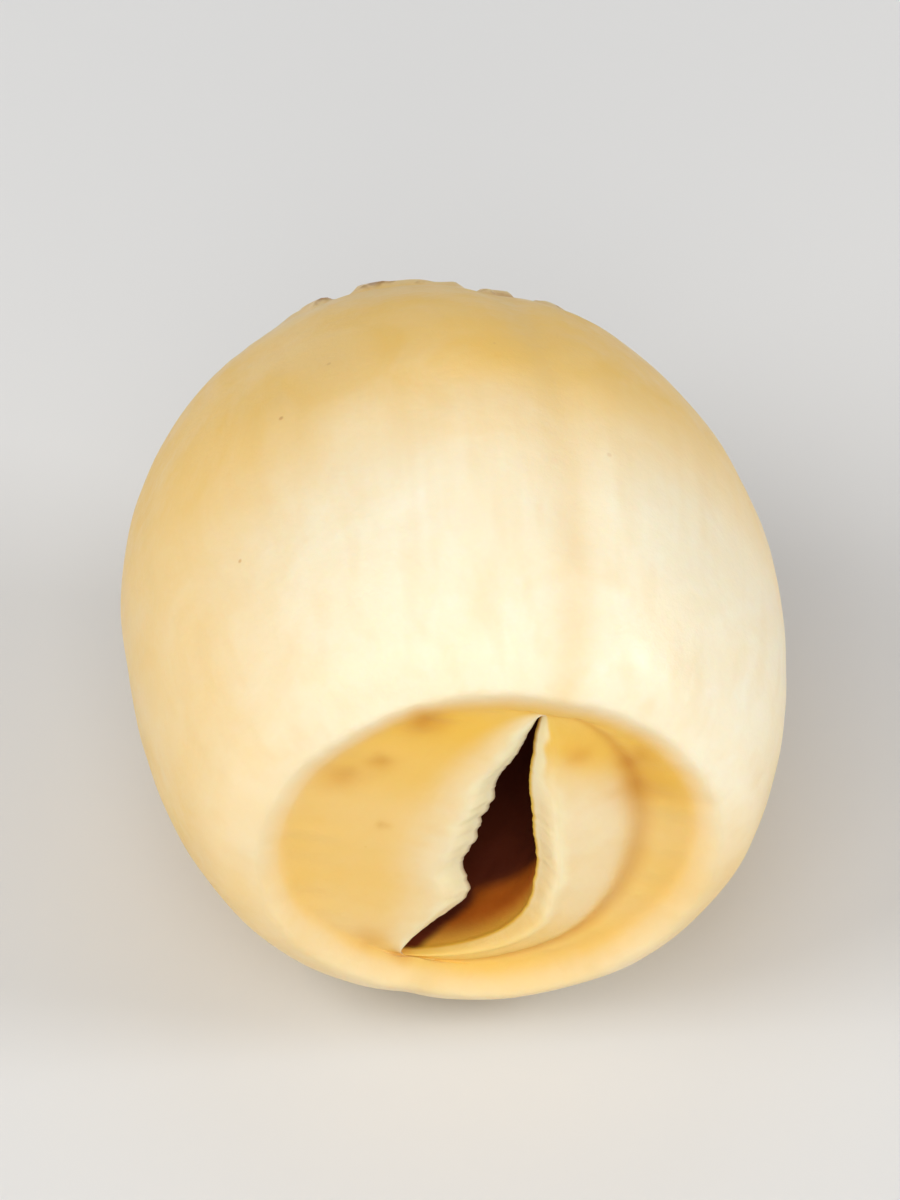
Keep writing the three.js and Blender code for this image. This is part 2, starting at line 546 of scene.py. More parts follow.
@dataclass(frozen=True)
class DriedRelief:
    """The low relief that drying and peeling left on the flesh, in millimetres and radians.

    Attributes:
        sizes: The seed's driving dimensions.
        broad: Height of the broad unevenness.
        medium: Height of the unevenness about a millimetre across.
        wrinkle: Height of the fine wrinkles that run along the seed.
        dimple_depth: Depth of the scattered dimples.
        dimple_radius: Radius of the scattered dimples.
        dimple_spacing: How far apart they are.
        pucker: Height of the puckers that run across the crease of the mouth.
        lip_bead: Height of the bead along the edge of the lips.
        skin_thickness: Thickness of the torn skin that is left near the base.
        skin_radius: Radius at which the skin tore off.
        skin_turns: Where the torn skin begins and ends, from the seam's top.
        flake_half_width: Half width of its flakes.
        end_wave: How uneven the crest of the rim and the end of the base are.
        grain: Height of the grain in the hollow.
        dents: Shallow dents in the flank.
    """

    sizes: SeedSizes
    broad: float = 0.06
    medium: float = 0.022
    wrinkle: float = 0.014
    dimple_depth: float = 0.03
    dimple_radius: float = 0.36
    dimple_spacing: float = 2.7
    pucker: float = 0.03
    lip_bead: float = 0.05
    skin_thickness: float = 0.12
    skin_radius: float = 4.1
    skin_turns: tuple[float, float] = (-1.15, 0.62)
    flake_half_width: float = 0.1
    end_wave: float = 0.08
    grain: float = 0.04
    dents: tuple[Dent, ...] = (
        Dent(angle=-118, along=1.6, half_width=1.1, half_length=2.6, depth=0.2),
        Dent(angle=128, along=0.4, half_width=0.8, half_length=2.2, depth=0.14),
        Dent(angle=-48, along=2.6, half_width=1.5, half_length=1.5, depth=0.09),
        Dent(angle=62, along=3.4, half_width=1.0, half_length=1.3, depth=0.08),
    )

    def by_base(self, ring: Ring) -> bool:
        """Says whether a ring lies on the part of the flank where skin is left."""
        return ring.zone is Zone.FLANK and ring.along >= 0.5 * self.sizes.base_behind

    def skin_line(self, turn: float) -> float:
        """Gives the radius at which the skin tore off, at a turn from the seam's top in radians."""
        return self.skin_radius + 0.28 * noise.noise(Vector((3.1 * turn, 0.0, 7.0)))

    def torn_skin(self, ring: Ring, angle: float) -> float:
        """Gives how much torn skin stands at a point: broken flakes along a line on the base's upper side.

        Args:
            ring: The point's ring.
            angle: Its angle round the ring from the seam's top, in radians.

        Returns:
            A share from 0 to 1.
        """
        if not self.by_base(ring):
            return 0.0
        turn = math.remainder(angle, 2 * math.pi)
        first, last = self.skin_turns
        window = ease(first, first + 0.35, turn) * ease(last, last - 0.22, turn)
        whole = ease(-0.3, 0.1, noise.noise(Vector((6.5 * turn, 1.0, 4.0))))
        ragged = noise.noise(Vector((16.0 * turn, 2.4 * ring.radius, 3.0)))
        half_width = self.flake_half_width * (1 + 1.2 * ragged)
        aside = abs(ring.radius - self.skin_line(turn))
        return window * whole * ease(half_width + 0.1, half_width, aside)

    def skin_stain(self, ring: Ring, angle: float) -> float:
        """Gives how far the torn skin has stained the flesh between its line and the core hole.

        Args:
            ring: The point's ring.
            angle: Its angle round the ring from the seam's top, in radians.

        Returns:
            A share from 0 to 1.
        """
        if not self.by_base(ring):
            return 0.0
        turn = math.remainder(angle, 2 * math.pi)
        inward = self.skin_line(turn) - ring.radius
        faded = ease(-0.12, 0.1, inward) * ease(2.0, 0.2, inward)
        window = ease(-1.5, -0.6, turn) * ease(1.1, 0.3, turn)
        notch = hump(0.16, 0.12, turn) * hump(-0.25, 0.2, inward)
        return min(1.0, 0.4 * faded * window + 0.8 * notch)

    def open_share(self, ring: Ring) -> float:
        """Gives how far a ring lies on the open flank, clear of the mouth and the core hole.

        Args:
            ring: The ring.

        Returns:
            A share from 0 to 1.
        """
        s = self.sizes
        if ring.along > 0:
            return ease(s.core_hole_radius + 0.3, s.core_hole_radius + 2.4, ring.radius)
        return ease(s.crease_radius - 0.2, s.crease_radius + 1.4, ring.radius) * (1 - ring.split)

    def dimple(self, point: Vector) -> float:
        """Gives how deep into a scattered dimple a point lies.

        Args:
            point: The point in the seed's own frame, in millimetres.

        Returns:
            A share from 0 to 1.
        """
        distances, _ = noise.voronoi(point / self.dimple_spacing + Vector((4.0, 9.0, 2.0)))
        radius = self.dimple_radius / self.dimple_spacing
        return ease(radius, 0.3 * radius, distances[0])

    def flank(self, ring: Ring, angle: float, point: Vector) -> float:
        """Gives the relief of the open flank: unevenness, wrinkles, dimples and dents.

        Args:
            ring: The point's ring.
            angle: Its angle round the ring from the seam's top, in radians.
            point: The point on the plain outline, in millimetres.

        Returns:
            The height, in millimetres.
        """
        streak = Vector((angle * ring.radius / 0.34, ring.along / 2.4, 8.0))
        patchy = ease(-0.15, 0.45, noise.noise(point / 2.3 + Vector((0.0, 6.0, 0.0))))
        height = self.broad * noise.noise(point / 3.1 + Vector((1.7, 0.0, 5.2)))
        height += 0.65 * self.medium * noise.noise(point / 1.05)
        height += self.wrinkle * patchy * noise.noise(streak)
        height -= self.dimple_depth * self.dimple(point)
        return height - sum(dent.depth_at(ring, angle) for dent in self.dents)

    def ends(self, ring: Ring, angle: float) -> float:
        """Gives how far the crest of the rim and the end of the base sink in waves.

        Args:
            ring: The point's ring.
            angle: Its angle round the ring from the seam's top, in radians.

        Returns:
            The depth, in millimetres.
        """
        s = self.sizes
        crest = hump(-s.rim_ahead, 0.45, ring.along) + hump(s.base_behind, 0.3, ring.along)
        swing = Vector((1.4 * math.cos(angle), 1.4 * math.sin(angle), 0.3 * ring.along))
        wave = 0.6 + noise.noise(swing) + 0.4 * noise.noise(3.1 * swing)
        return self.end_wave * crest * wave * (1 - ring.split)

    def lips(self, ring: Ring, angle: float) -> float:
        """Gives the relief of the mouth: puckers across its crease and a bead along the lips.

        Args:
            ring: The point's ring.
            angle: Its angle round the ring from the seam's top, in radians.

        Returns:
            The height, in millimetres.
        """
        swing = Vector((9.0 * math.cos(angle), 9.0 * math.sin(angle), 1.0))
        pucker = self.pucker * hump(0.1, 0.2, ring.split) * noise.noise(swing)
        return pucker + self.lip_bead * hump(self.sizes.bevel_at, 0.07, ring.split) * math.sin(angle) ** 2

    def height(self, ring: Ring, angle: float, point: Vector) -> float:
        """Gives how far a point stands out of the plain outline.

        Args:
            ring: The point's ring.
            angle: Its angle round the ring from the seam's top, in radians.
            point: The point on the plain outline, in millimetres.

        Returns:
            The height along the surface's normal, in millimetres.
        """
        if ring.zone is Zone.INSIDE:
            past_lip = ring.along - self.sizes.lip_edge
            return self.grain * ease(0.3, 1.6, past_lip) * noise.fractal(point / 0.6, 0.8, 2.0, 3)
        height = self.open_share(ring) * self.flank(ring, angle, point)
        height += 0.35 * self.medium * noise.noise(point / 1.05)
        height += self.skin_thickness * self.torn_skin(ring, angle)
        height -= self.ends(ring, angle)
        if ring.zone is Zone.MOUTH:
            height += self.lips(ring, angle)
        return height


@dataclass(frozen=True)
class Blot:
    """A small stain on the face of the mouth.

    Attributes:
        across: Where it lies to the right of the mouth's middle, in millimetres.
        up: Where it lies above the middle, in millimetres.
        half_width: Its half width, in millimetres.
        share: How strong it is.
    """

    across: float
    up: float
    half_width: float
    share: float

    def strength(self, place: Vector) -> float:
        """Gives how strong the stain is at a place across and up from the mouth's middle."""
        return self.share * hump(0, self.half_width, (place - Vector((self.across, self.up))).length)


@dataclass(frozen=True)
class StainMap:
    """Where the flesh is stained or broken, and where shade and a highlight are painted on it.

    Attributes:
        outline: The outline, which knows where the split runs.
        relief: The relief, which knows where torn skin is left.
        ring_outside: Radius at which the amber ring of the mouth begins, in millimetres.
        ring_inside: Radius at which it has its full colour, in millimetres.
        even_warmth: How yellow the flesh is all over.
        back_warmth_and_shade: How much yellower it is towards the base and the top, partly as painted shade.
        side_warmth_and_shade: How much yellower it is at the sides, partly as painted shade.
        under_warmth_and_shade: How much yellower it is underneath, partly as painted shade.
        clouds: How much its yellow varies in clouds.
        blots: Small stains on the face of the mouth.
    """

    outline: Outline
    relief: DriedRelief
    ring_outside: float = 4.65
    ring_inside: float = 3.5
    even_warmth: float = 0.08
    back_warmth_and_shade: float = 0.9
    side_warmth_and_shade: float = 0.6
    under_warmth_and_shade: float = 0.34
    clouds: float = 0.09
    blots: tuple[Blot, ...] = (
        Blot(-1.25, 3.6, 0.4, 0.9),
        Blot(-2.08, 2.48, 0.25, 0.7),
        Blot(-2.84, 2.08, 0.4, 0.6),
        Blot(2.95, 1.2, 0.6, 0.5),
        Blot(2.85, 2.1, 0.35, 0.6),
        Blot(1.7, 2.35, 0.3, 0.5),
        Blot(-2.04, 0.66, 0.12, 0.7),
        Blot(-2.28, -2.8, 0.35, 0.6),
        Blot(-1.7, -3.35, 0.2, 0.6),
    )

    def masks(self, ring: Ring, angle: float, point: Vector) -> dict[Stain, float]:
        """Gives every mask at a point.

        Args:
            ring: The point's ring.
            angle: Its angle round the ring from the seam's top, in radians.
            point: The point in the seed's own frame, in millimetres.

        Returns:
            A share from 0 to 1 for each stain.
        """
        s = self.outline.sizes
        masks = dict.fromkeys(Stain, 0.0)
        if ring.zone is Zone.INSIDE:
            masks.update(self.inside(ring, angle, point))
            return masks
        masks[Stain.WARM_AND_SHADE] = self.warmth_and_shade(point)
        masks[Stain.SEAM] = hump(0, 0.45, math.sin(angle) * ring.radius) * (1 - ring.split)
        masks[Stain.SKIN] = self.relief.torn_skin(ring, angle)
        masks[Stain.TAN] = self.relief.skin_stain(ring, angle)
        if ring.along < -0.5 * s.rim_ahead:
            masks.update(self.face(ring, angle, point))
        return masks

    def inside(self, ring: Ring, angle: float, point: Vector) -> dict[Stain, float]:
        """Gives the masks of the hollow: a lit chute below the split, then brown darkened as painted shade,
        with a painted shadow behind the left lip's edge.

        Args:
            ring: The point's ring.
            angle: Its angle round the ring from the seam's top, in radians.
            point: The point in the seed's own frame, in millimetres.

        Returns:
            The masks that aren't 0 there.
        """
        s = self.outline.sizes
        past_lip = ring.along - s.lip_edge
        past_hole = s.base_behind - ring.along
        left = ease(-0.25, -0.6, math.sin(angle))
        return {
            Stain.AMBER: 1.0,
            Stain.BROKEN_AND_HIGHLIGHT: left * ease(0.5, 0.2, past_lip),
            Stain.CHUTE: ease(0.0, 0.85, past_lip) * ease(0.1, 0.5, past_hole),
            # The hollow's brown darkened as painted shade deeper in, and as a painted shadow behind the left
            # lip's edge.
            Stain.HOLLOW_BROWN_AND_SHADE: max(
                ease(1.15, 1.5, past_lip) * ease(0.4, 1.8, past_hole),
                self.slit_shadow(point) * ease(0.05, 0.25, past_lip) * ease(3, 2, past_lip),
            ),
        }

    def slit_shadow(self, point: Vector) -> float:
        """Gives how close a point in the chute lies behind the left lip's edge, where a painted shadow
        darkens it.

        Args:
            point: The point in the seed's own frame, in millimetres.

        Returns:
            A share from 0 to 1.
        """
        s = self.outline.sizes
        aside = point.x - s.mouth_aside
        # A painted shadow: points deeper in count as higher, so it follows the left lip's edge where the lip
        # overhangs the chute.
        upward = point.z / s.flattening + point.y - s.lip_edge
        up_seam = aside * math.sin(s.seam_lean) + upward * math.cos(s.seam_lean)
        across_seam = aside * math.cos(s.seam_lean) - upward * math.sin(s.seam_lean)
        edge = self.outline.split_edge(-math.acos(min(1.0, max(-1.0, up_seam / s.split_reach))))
        return ease(0.4, 0.15, across_seam - edge)

    def left_lip(self, ring: Ring, angle: float, torn: float) -> tuple[float, float]:
        """Gives the stains of the left lip, which is broken all along its edge.

        Args:
            ring: The point's ring.
            angle: Its angle round the ring from the seam's top, in radians.
            torn: Its place on the lip, with the unevenness of a tear.

        Returns:
            How far the amber fades there, and how far the lip is broken.
        """
        fading = 0.7 * ease(0.5, 0.92, ring.split)
        return fading, ease(0.8, 0.9, torn) * ease(-0.12, -0.4, math.sin(angle))

    def right_lip(self, ring: Ring, angle: float, torn: float) -> tuple[float, float]:
        """Gives the stains of the right lip: pale in its middle, with a painted highlight along the crest of
        its edge and a torn upper edge.

        Args:
            ring: The point's ring.
            angle: Its angle round the ring from the seam's top, in radians.
            torn: Its place on the lip, with the unevenness of a tear.

        Returns:
            How far the amber fades there, and how far the lip is broken or carries the painted highlight.
        """
        up = math.cos(angle)
        middle = ease(0.1, 0.5, math.sin(angle)) * ease(0.8, 0.45, up) * (1 - 0.8 * ease(-0.35, -0.85, up))
        # A painted highlight along the crest of the right lip's edge.
        ridge_highlight = 0.9 * hump(0.85, 0.05, torn) * hump(-0.05, 0.5, up)
        upper_edge = 0.8 * ease(0.9, 0.97, torn) * ease(0.25, 0.55, up)
        return 0.55 * ease(0.25, 0.5, ring.split) * middle, ridge_highlight + upper_edge

    def face(self, ring: Ring, angle: float, point: Vector) -> dict[Stain, float]:
        """Gives the masks of the mouth's face: an amber ring, paler lips and a broken edge, with painted
        shade in the crease round the right lip and a painted highlight along its edge.

        Args:
            ring: The point's ring.
            angle: Its angle round the ring from the seam's top, in radians.
            point: The point in the seed's own frame, in millimetres.

        Returns:
            The masks that aren't 0 there.
        """
        up, side = math.cos(angle), math.sin(angle)
        low = ease(-0.35, -0.85, up)
        top = ease(0.1, 0.8, up)
        wander = 0.14 * noise.noise(Vector((2.4 * up, 2.4 * side, 3.0)))
        outside = self.ring_outside + low * lerp(-0.3, 0.25, ease(-0.6, 0.3, side)) + 0.05 * top
        in_ring = ease(outside, self.ring_inside + 0.25 * top, ring.radius + wander)
        torn = ring.split + 0.08 * noise.noise(point / 0.45)
        lip = self.left_lip if side < 0 else self.right_lip
        fading, broken = lip(ring, angle, torn)
        fading += 0.35 * low * ease(3.9, 4.3, ring.radius)
        # Painted shade in the crease round the right lip, which the deep amber mask carries along with the
        # blots.
        crease = 0.5 * hump(self.outline.sizes.lip_crease_at, 0.08, ring.split) * ease(0, 0.4, side)
        return {
            Stain.AMBER: in_ring * max(0.0, 1 - fading),
            Stain.DEEP_AND_CREASE_SHADE: min(1.0, in_ring * (crease + self.blotted(point))),
            Stain.BROKEN_AND_HIGHLIGHT: min(1.0, in_ring * broken),
        }

    def blotted(self, point: Vector) -> float:
        """Gives how strongly the blots stain a point of the mouth's face.

        Args:
            point: The point in the seed's own frame, in millimetres.

        Returns:
            The strength, which can pass 1 where blots overlap.
        """
        s = self.outline.sizes
        bend = Vector((noise.noise(point / 0.4), noise.noise(point / 0.4 + Vector((7.0, 0.0, 0.0)))))
        place = Vector((point.x - s.mouth_aside, point.z / s.flattening)) + 0.12 * bend
        return sum(blot.strength(place) for blot in self.blots)

    def warmth_and_shade(self, point: Vector) -> float:
        """Gives how yellow the flesh is, partly its own yellowing and partly painted shade: most towards the
        base, then at the sides and underneath.

        Args:
            point: The point in the seed's own frame, in millimetres.

        Returns:
            A share from 0 to 1.
        """
        x, y, z = point
        # The base, side and underneath terms are partly painted shade: the flesh is made yellower and darker
        # where less light falls on it.
        back = ease(-2.4, 2.2, y) * lerp(0.5, 1, ease(-2, 3.5, z)) * lerp(0.35, 1, ease(-5.5, -0.5, x))
        sides = ease(-1.2, -6, x) + ease(2.6, 5.6, x) * ease(2, -2.5, z)
        askew = Vector((x + 0.7 * z, y - 0.6 * x, z + 0.5 * y))
        cloud = noise.fractal(askew / 5.3 + Vector((2.0, 3.0, 1.0)), 1.0, 2.0, 3)
        warm_and_shade = self.even_warmth + self.back_warmth_and_shade * back + self.side_warmth_and_shade * sides
        warm_and_shade += self.under_warmth_and_shade * ease(1, -4, z) + self.clouds * cloud
        return min(1.0, max(0.0, warm_and_shade))


class NodeBench:
    """A material's node tree, with short ways to add what the finishes need."""

    # A Mix node has sockets of the same name for each kind of value, so those of its colours go by number.
    MIX_SHARE = 0
    MIX_FIRST = 6
    MIX_SECOND = 7
    MIX_RESULT = 2

    def __init__(self, name: str) -> None:
        """Starts a material with a Principled shader.

        Args:
            name: The material's name.
        """
        self.material = bpy.data.materials.new(name)
        self.material.use_nodes = True
        self.tree = self.material.node_tree
        self.shader = self.tree.nodes["Principled BSDF"]
        self.place = self.tree.nodes.new("ShaderNodeTexCoord").outputs["Object"]

    def link(self, source: bpy.types.NodeSocket, target: bpy.types.NodeSocket) -> None:
        """Links one socket to another."""
        self.tree.links.new(source, target)

    def feed(self, target: bpy.types.NodeSocket, value: bpy.types.NodeSocket | float | Colour) -> None:
        """Links a socket to a target, or sets the target to a plain value.

        Args:
            target: The socket to feed.
            value: The socket to link, or the value to set.
        """
        if isinstance(value, bpy.types.NodeSocket):
            self.link(value, target)
        else:
            target.default_value = value

    def mask(self, stain: Stain) -> bpy.types.NodeSocket:
        """Reads one of the mesh's masks.

        Args:
            stain: The mask.

        Returns:
            The mask's socket.
        """
        node = self.tree.nodes.new("ShaderNodeAttribute")
        node.attribute_name = stain.value
        return node.outputs["Fac"]

    def scaled(self, stain: Stain, share: float) -> bpy.types.NodeSocket:
        """Reads a share of one of the mesh's masks."""
        return self.math("MULTIPLY", self.mask(stain), share)

    def math(
        self,
        operation: str,
        first: bpy.types.NodeSocket | float,
        second: bpy.types.NodeSocket | float,
    ) -> bpy.types.NodeSocket:
        """Reckons with two values, and keeps the result between 0 and 1.

        Args:
            operation: Blender's name of what is done with them.
            first: The first value.
            second: The second value.

        Returns:
            The result's socket.
        """
        node = self.tree.nodes.new("ShaderNodeMath")
        node.operation = operation
        node.use_clamp = True
        self.feed(node.inputs[0], first)
        self.feed(node.inputs[1], second)
        return node.outputs["Value"]

    def noise(
        self,
        scale: float,
        detail: float,
        roughness: float,
        stretch: tuple[float, float, float] | None = None,
        distortion: float = 0.0,
    ) -> bpy.types.NodeSocket:
        """Adds a noise on the piece's own coordinates.

        Args:
            scale: Waves for each metre.
            detail: How many finer layers it has.
            roughness: How strong the finer layers are.
            stretch: Waves for each metre along X, Y and Z, where they differ.
            distortion: How far it is bent out of its even grid.

        Returns:
            The noise's value.
        """
        node = self.tree.nodes.new("ShaderNodeTexNoise")
        node.inputs["Scale"].default_value = scale
        node.inputs["Detail"].default_value = detail
        node.inputs["Roughness"].default_value = roughness
        node.inputs["Distortion"].default_value = distortion
        place = self.place
        if stretch:
            mapping = self.tree.nodes.new("ShaderNodeMapping")
            mapping.inputs["Scale"].default_value = stretch
            self.link(place, mapping.inputs["Vector"])
            place = mapping.outputs["Vector"]
        self.link(place, node.inputs["Vector"])
        return node.outputs["Fac"]

    def span(
        self, value: bpy.types.NodeSocket, low: float, high: float, to_low: float, to_high: float
    ) -> bpy.types.NodeSocket:
        """Maps a value's range to another, without going past it.

        Args:
            value: The value.
            low: Where its range begins.
            high: Where it ends.
            to_low: What the low end becomes.
            to_high: What the high end becomes.

        Returns:
            The mapped value's socket.
        """
        node = self.tree.nodes.new("ShaderNodeMapRange")
        self.link(value, node.inputs["Value"])
        for name, number in zip(("From Min", "From Max", "To Min", "To Max"), (low, high, to_low, to_high)):
            node.inputs[name].default_value = number
        return node.outputs["Result"]

    def specks(self, scale: float, radius: float, rare: float) -> bpy.types.NodeSocket:
        """Adds small scattered specks.

        Args:
            scale: Cells for each metre.
            radius: A speck's radius, as a share of its cell.
            rare: The share of cells that stay bare.

        Returns:
            The specks' mask.
        """
        node = self.tree.nodes.new("ShaderNodeTexVoronoi")
        node.inputs["Scale"].default_value = scale
        self.link(self.place, node.inputs["Vector"])
        chance = self.tree.nodes.new("ShaderNodeSeparateColor")
        self.link(node.outputs["Color"], chance.inputs["Color"])
        drawn = self.span(chance.outputs["Red"], rare, rare + 0.1, 0, 1)
        return self.math("MULTIPLY", self.span(node.outputs["Distance"], 0.5 * radius, radius, 0.8, 0), drawn)

    def blend(
        self,
        share: bpy.types.NodeSocket,
        first: bpy.types.NodeSocket | Colour,
        second: bpy.types.NodeSocket | Colour,
    ) -> bpy.types.NodeSocket:
        """Blends two colours.

        Args:
            share: How much of the second there is.
            first: The colour below.
            second: The colour on top.

        Returns:
            The blended colour's socket.
        """
        node = self.tree.nodes.new("ShaderNodeMix")
        node.data_type = "RGBA"
        self.link(share, node.inputs[self.MIX_SHARE])
        self.feed(node.inputs[self.MIX_FIRST], first)
        self.feed(node.inputs[self.MIX_SECOND], second)
        return node.outputs[self.MIX_RESULT]

    def bump(self, layers: tuple[tuple[bpy.types.NodeSocket, float], ...], distance: float) -> None:
        """Gives the shader a fine bump.

        Args:
            layers: Each height with its strength.
            distance: The height of a full step, in metres.
        """
        below = None
        for height, strength in layers:
            node = self.tree.nodes.new("ShaderNodeBump")
            node.inputs["Strength"].default_value = strength
            node.inputs["Distance"].default_value = distance
            self.link(height, node.inputs["Height"])
            if below:
                self.link(below, node.inputs["Normal"])
            below = node.outputs["Normal"]
        self.link(below, self.shader.inputs["Normal"])


@dataclass(frozen=True)
class FleshFinish:
    """Dried lotus flesh: waxy and cream, amber where the skin grew in, with a brown hollow, and with painted
    shade and a painted highlight in its colour.

    Attributes:
        name: The material's name.
        pale: Where the flesh is whitest.
        warm_and_shade: Where it has yellowed, and as painted shade at its sides, top and underneath.
        chalk: The dusting of starch.
        straw: Along the seam and in streaks.
        amber: In the ring of the mouth.
        deep: Deeper amber in the blots, and painted shade in the crease round the right lip.
        broken: On the torn edge of the lips, and as a painted highlight along the right lip's edge.
        skin: What is left of the brown skin.
        scurf: Its pale inner side, where it has curled over.
        tan: Flesh that it has stained.
        speck: Scattered specks.
        chute: Just inside the split and the core hole.
        hollow: Deep inside, the hollow's brown darkened as painted shade.
        roughness: Lowest and highest roughness of the outside.
        ior: Index of refraction of its waxy surface.
        specular: How much the surface mirrors.
        subsurface: Share of the light that goes through the flesh.
        depth: How far red, green and blue light go in, in millimetres.
        bump: Height of the dust and of the finest grain, in millimetres.
    """

    name: str = "lotus_flesh"
    pale: Colour = srgb(251, 240, 213)
    warm_and_shade: Colour = srgb(240, 199, 110)
    chalk: Colour = srgb(253, 247, 228)
    straw: Colour = srgb(231, 196, 124)
    amber: Colour = srgb(244, 194, 74)
    deep: Colour = srgb(217, 150, 40)
    broken: Colour = srgb(255, 239, 196)
    skin: Colour = srgb(150, 92, 44)
    scurf: Colour = srgb(240, 212, 164)
    tan: Colour = srgb(196, 142, 78)
    speck: Colour = srgb(206, 160, 100)
    chute: Colour = srgb(222, 116, 18)
    hollow: Colour = srgb(112, 42, 12)
    roughness: tuple[float, float] = (0.32, 0.5)
    ior: float = 1.45
    specular: float = 0.45
    subsurface: float = 0.3
    depth: tuple[float, float, float] = (1.1, 0.65, 0.3)
    bump: float = 0.05

    def colour(self, bench: NodeBench, dust: bpy.types.NodeSocket) -> bpy.types.NodeSocket:
        """Lays the colours over one another, from clean flesh to the painted shade of the hollow.

        Args:
            bench: The material's bench.
            dust: The noise of the dusting of starch.

        Returns:
            The colour's socket.
        """
        grain = bench.noise(scale=420, detail=4, roughness=0.55, distortion=1.2)
        streaks = bench.noise(scale=1.0, detail=2, roughness=0.5, stretch=(1500, 190, 1500))
        flakes = bench.noise(scale=2300, detail=2, roughness=0.5)
        warm_and_shade = bench.math("ADD", bench.mask(Stain.WARM_AND_SHADE), bench.span(grain, 0.3, 0.7, -0.09, 0.09))
        torn = bench.blend(bench.span(flakes, 0.34, 0.46, 0, 1), self.skin, self.scurf)
        colour = bench.blend(bench.span(dust, 0.5, 0.75, 0, 0.4), self.pale, self.chalk)
        layers = (
            # Partly yellowed flesh and partly painted shade.
            (warm_and_shade, self.warm_and_shade),
            (bench.span(streaks, 0.5, 0.8, 0, 0.25), self.straw),
            (bench.scaled(Stain.SEAM, 0.3), self.straw),
            (bench.specks(scale=950, radius=0.065, rare=0.8), self.speck),
            (bench.mask(Stain.AMBER), self.amber),
            # Deeper amber in the blots, and painted shade in the crease.
            (bench.mask(Stain.DEEP_AND_CREASE_SHADE), self.deep),
            # Torn lip edges, and a painted highlight on the right lip.
            (bench.mask(Stain.BROKEN_AND_HIGHLIGHT), self.broken),
            (bench.mask(Stain.TAN), self.tan),
            (bench.scaled(Stain.SKIN, 0.85), torn),
            (bench.mask(Stain.CHUTE), self.chute),
            # The hollow's brown darkened as painted shade.
            (bench.mask(Stain.HOLLOW_BROWN_AND_SHADE), self.hollow),
        )
        for share, layer in layers:
            colour = bench.blend(share, colour, layer)
        return colour

    def material(self) -> bpy.types.Material:
        """Makes the material.

        Returns:
            The material, with all its nodes.
        """
        bench = NodeBench(self.name)
        dust = bench.noise(scale=1500, detail=4, roughness=0.6)
        finest = bench.noise(scale=5200, detail=3, roughness=0.6)
        dusty = bench.span(dust, 0.35, 0.7, *self.roughness)
        sockets = bench.shader.inputs
        bench.link(self.colour(bench, dust), sockets["Base Color"])
        bench.link(bench.math("ADD", dusty, bench.scaled(Stain.CHUTE, 0.45)), sockets["Roughness"])
        bench.bump(((dust, 0.4), (finest, 0.2)), distance=self.bump * MM)
        sockets["IOR"].default_value = self.ior
        sockets["Specular IOR Level"].default_value = self.specular
        sockets["Subsurface Weight"].default_value = self.subsurface
        sockets["Subsurface Radius"].default_value = self.depth
        sockets["Subsurface Scale"].default_value = MM
        return bench.material


